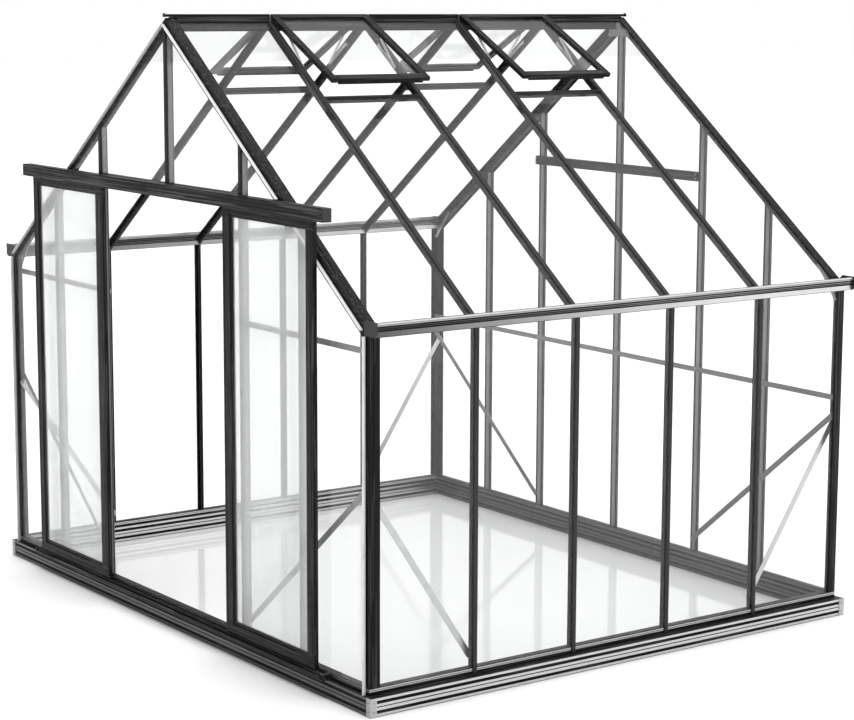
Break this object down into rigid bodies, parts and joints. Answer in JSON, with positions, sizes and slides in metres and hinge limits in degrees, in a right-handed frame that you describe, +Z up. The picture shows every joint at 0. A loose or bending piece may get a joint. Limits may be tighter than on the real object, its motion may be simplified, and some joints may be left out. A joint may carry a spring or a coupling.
{
  "type": "greenhouse",
  "caption": "Walk-in gable greenhouse of black aluminium profiles and clear glass, with a ribbed base frame, double sliding doors, gutters and opening roof vents.",
  "frame": {"origin": "middle of the footprint, on the ground under the base frame", "axes": "+Z up; -Y out of the gable with the sliding doors; the ridge runs along Y; +X to the right seen from the door side"},
  "size_m": [3.872, 3.1484, 3.224],
  "materials": {
    "frame_black": "satin black powder coat",
    "gutter_black": "satin black powder coat",
    "door_black": "satin black powder coat",
    "vent_black": "satin black powder coat",
    "door_rail": "satin dark grey powder coat",
    "end_cap": "moulded matt black plastic",
    "glazing_strip": "black extruded glazing strip",
    "fin_metal": "mill-finish aluminium",
    "corner_cap": "satin grey aluminium",
    "post_black": "matt black powder coat",
    "door_glass": "clear flat glass with a pale film",
    "brace_metal": "light grey satin aluminium",
    "gusset_metal": "bare pressed aluminium",
    "stay_metal": "bare aluminium",
    "fastener": "zinc-plated steel",
    "roller": "white nylon",
    "glass": "clear flat horticultural glass"
  },
  "bodies": {
    "house": {"base_corner_caps": "corner_cap", "base_front": "frame_black", "base_left": "frame_black", "base_rear": "frame_black", "base_right": "frame_black", "corner_posts": "post_black", "cross_beams": "frame_black", "diagonal_braces": "brace_metal", "door_rail": "door_rail", "door_track": "door_rail", "frame_bolts": "fastener", "gable_fins": "fin_metal", "gable_flats": "brace_metal", "gable_glass_front": "glass", "gable_glass_rear": "glass", "gable_posts_front": "post_black", "gable_posts_rear": "post_black", "gable_rafters": "post_black", "gusset_plates": "gusset_metal", "gutter_left": "gutter_black", "gutter_right": "gutter_black", "profile_end_caps": "end_cap", "ridge_bar": "frame_black", "roof_bars_left": "post_black", "roof_bars_right": "post_black", "roof_glass": "glass", "roof_glazing_strips": "glazing_strip", "side_glass": "glass", "side_posts_left": "post_black", "side_posts_right": "post_black", "sills": "frame_black", "vent_pivots": "stay_metal", "vent_sills": "frame_black", "wall_glazing_strips": "glazing_strip"},
    "door_left": {"door_frame_left": "door_black", "door_glass_left": "door_glass", "door_hangers_left": "fastener"},
    "roller_left_1": {"door_roller_left_1": "roller"},
    "roller_left_2": {"door_roller_left_2": "roller"},
    "door_right": {"door_frame_right": "door_black", "door_glass_right": "door_glass", "door_hangers_right": "fastener"},
    "roller_right_1": {"door_roller_right_1": "roller"},
    "roller_right_2": {"door_roller_right_2": "roller"},
    "vent_left_1": {"vent_frame_left_1": "vent_black", "vent_glass_left_1": "glass"},
    "stay_a_left_1": {"stay_link_a_left_1": "stay_metal"},
    "stay_b_left_1": {"stay_link_b_left_1": "stay_metal"},
    "vent_left_2": {"vent_frame_left_2": "vent_black", "vent_glass_left_2": "glass"},
    "stay_a_left_2": {"stay_link_a_left_2": "stay_metal"},
    "stay_b_left_2": {"stay_link_b_left_2": "stay_metal"},
    "vent_right_1": {"vent_frame_right_1": "vent_black", "vent_glass_right_1": "glass"},
    "stay_a_right_1": {"stay_link_a_right_1": "stay_metal"},
    "stay_b_right_1": {"stay_link_b_right_1": "stay_metal"},
    "vent_right_2": {"vent_frame_right_2": "vent_black", "vent_glass_right_2": "glass"},
    "stay_a_right_2": {"stay_link_a_right_2": "stay_metal"},
    "stay_b_right_2": {"stay_link_b_right_2": "stay_metal"}
  },
  "joints": [
    {"name": "door_left_slide", "type": "slide", "parent": "house", "child": "door_left", "axis": [1, 0, 0], "range_m": [0, 0.637]},
    {"name": "roller_left_1_spin", "type": "hinge", "parent": "door_left", "child": "roller_left_1", "pos_m": [-1.356, -1.54925, 2.3183], "axis": [0, 1, 0], "range_deg": [-20, 3061]},
    {"name": "roller_left_2_spin", "type": "hinge", "parent": "door_left", "child": "roller_left_2", "pos_m": [-0.748, -1.54925, 2.3183], "axis": [0, 1, 0], "range_deg": [-20, 3061]},
    {"name": "door_right_slide", "type": "slide", "parent": "house", "child": "door_right", "axis": [1, 0, 0], "range_m": [-0.637, 0]},
    {"name": "roller_right_1_spin", "type": "hinge", "parent": "door_right", "child": "roller_right_1", "pos_m": [0.748, -1.54925, 2.3183], "axis": [0, 1, 0], "range_deg": [-3061, 20]},
    {"name": "roller_right_2_spin", "type": "hinge", "parent": "door_right", "child": "roller_right_2", "pos_m": [1.356, -1.54925, 2.3183], "axis": [0, 1, 0], "range_deg": [-3061, 20]},
    {"name": "vent_left_1_hinge", "type": "hinge", "parent": "house", "child": "vent_left_1", "pos_m": [-0.022, -0.59525, 3.212], "axis": [0, 1, 0], "range_deg": [-8.4, 35]},
    {"name": "stay_a_left_1_pivot", "type": "hinge", "parent": "house", "child": "stay_a_left_1", "pos_m": [-0.16137, -0.59525, 3.05405], "axis": [0, 1, 0], "range_deg": [-8.5, 35.1]},
    {"name": "stay_b_left_1_pivot", "type": "hinge", "parent": "vent_left_1", "child": "stay_b_left_1", "pos_m": [-0.17846, -0.59525, 3.10156], "axis": [0, 1, 0], "range_deg": [-35.1, 8.5]},
    {"name": "vent_left_2_hinge", "type": "hinge", "parent": "house", "child": "vent_left_2", "pos_m": [-0.022, 0.62875, 3.212], "axis": [0, 1, 0], "range_deg": [-8.4, 35]},
    {"name": "stay_a_left_2_pivot", "type": "hinge", "parent": "house", "child": "stay_a_left_2", "pos_m": [-0.16137, 0.62875, 3.05405], "axis": [0, 1, 0], "range_deg": [-8.5, 35.1]},
    {"name": "stay_b_left_2_pivot", "type": "hinge", "parent": "vent_left_2", "child": "stay_b_left_2", "pos_m": [-0.17846, 0.62875, 3.10156], "axis": [0, 1, 0], "range_deg": [-35.1, 8.5]},
    {"name": "vent_right_1_hinge", "type": "hinge", "parent": "house", "child": "vent_right_1", "pos_m": [0.022, -0.59525, 3.212], "axis": [0, -1, 0], "range_deg": [-8.4, 35]},
    {"name": "stay_a_right_1_pivot", "type": "hinge", "parent": "house", "child": "stay_a_right_1", "pos_m": [0.16137, -0.59525, 3.05405], "axis": [0, -1, 0], "range_deg": [-8.5, 35.1]},
    {"name": "stay_b_right_1_pivot", "type": "hinge", "parent": "vent_right_1", "child": "stay_b_right_1", "pos_m": [0.17846, -0.59525, 3.10156], "axis": [0, -1, 0], "range_deg": [-35.1, 8.5]},
    {"name": "vent_right_2_hinge", "type": "hinge", "parent": "house", "child": "vent_right_2", "pos_m": [0.022, 0.62875, 3.212], "axis": [0, -1, 0], "range_deg": [-8.4, 35]},
    {"name": "stay_a_right_2_pivot", "type": "hinge", "parent": "house", "child": "stay_a_right_2", "pos_m": [0.16137, 0.62875, 3.05405], "axis": [0, -1, 0], "range_deg": [-8.5, 35.1]},
    {"name": "stay_b_right_2_pivot", "type": "hinge", "parent": "vent_right_2", "child": "stay_b_right_2", "pos_m": [0.17846, 0.62875, 3.10156], "axis": [0, -1, 0], "range_deg": [-35.1, 8.5]}
  ],
  "couplings": [
    {"joint": "roller_left_1_spin", "follows": "door_left_slide", "rad_per_m": 83.333},
    {"joint": "roller_left_2_spin", "follows": "door_left_slide", "rad_per_m": 83.333},
    {"joint": "roller_right_1_spin", "follows": "door_right_slide", "rad_per_m": 83.333},
    {"joint": "roller_right_2_spin", "follows": "door_right_slide", "rad_per_m": 83.333},
    {"joint": "stay_a_left_1_pivot", "follows": "vent_left_1_hinge", "ratio": 1},
    {"joint": "stay_b_left_1_pivot", "follows": "vent_left_1_hinge", "ratio": -1},
    {"joint": "stay_a_left_2_pivot", "follows": "vent_left_2_hinge", "ratio": 1},
    {"joint": "stay_b_left_2_pivot", "follows": "vent_left_2_hinge", "ratio": -1},
    {"joint": "stay_a_right_1_pivot", "follows": "vent_right_1_hinge", "ratio": 1},
    {"joint": "stay_b_right_1_pivot", "follows": "vent_right_1_hinge", "ratio": -1},
    {"joint": "stay_a_right_2_pivot", "follows": "vent_right_2_hinge", "ratio": 1},
    {"joint": "stay_b_right_2_pivot", "follows": "vent_right_2_hinge", "ratio": -1}
  ]
}
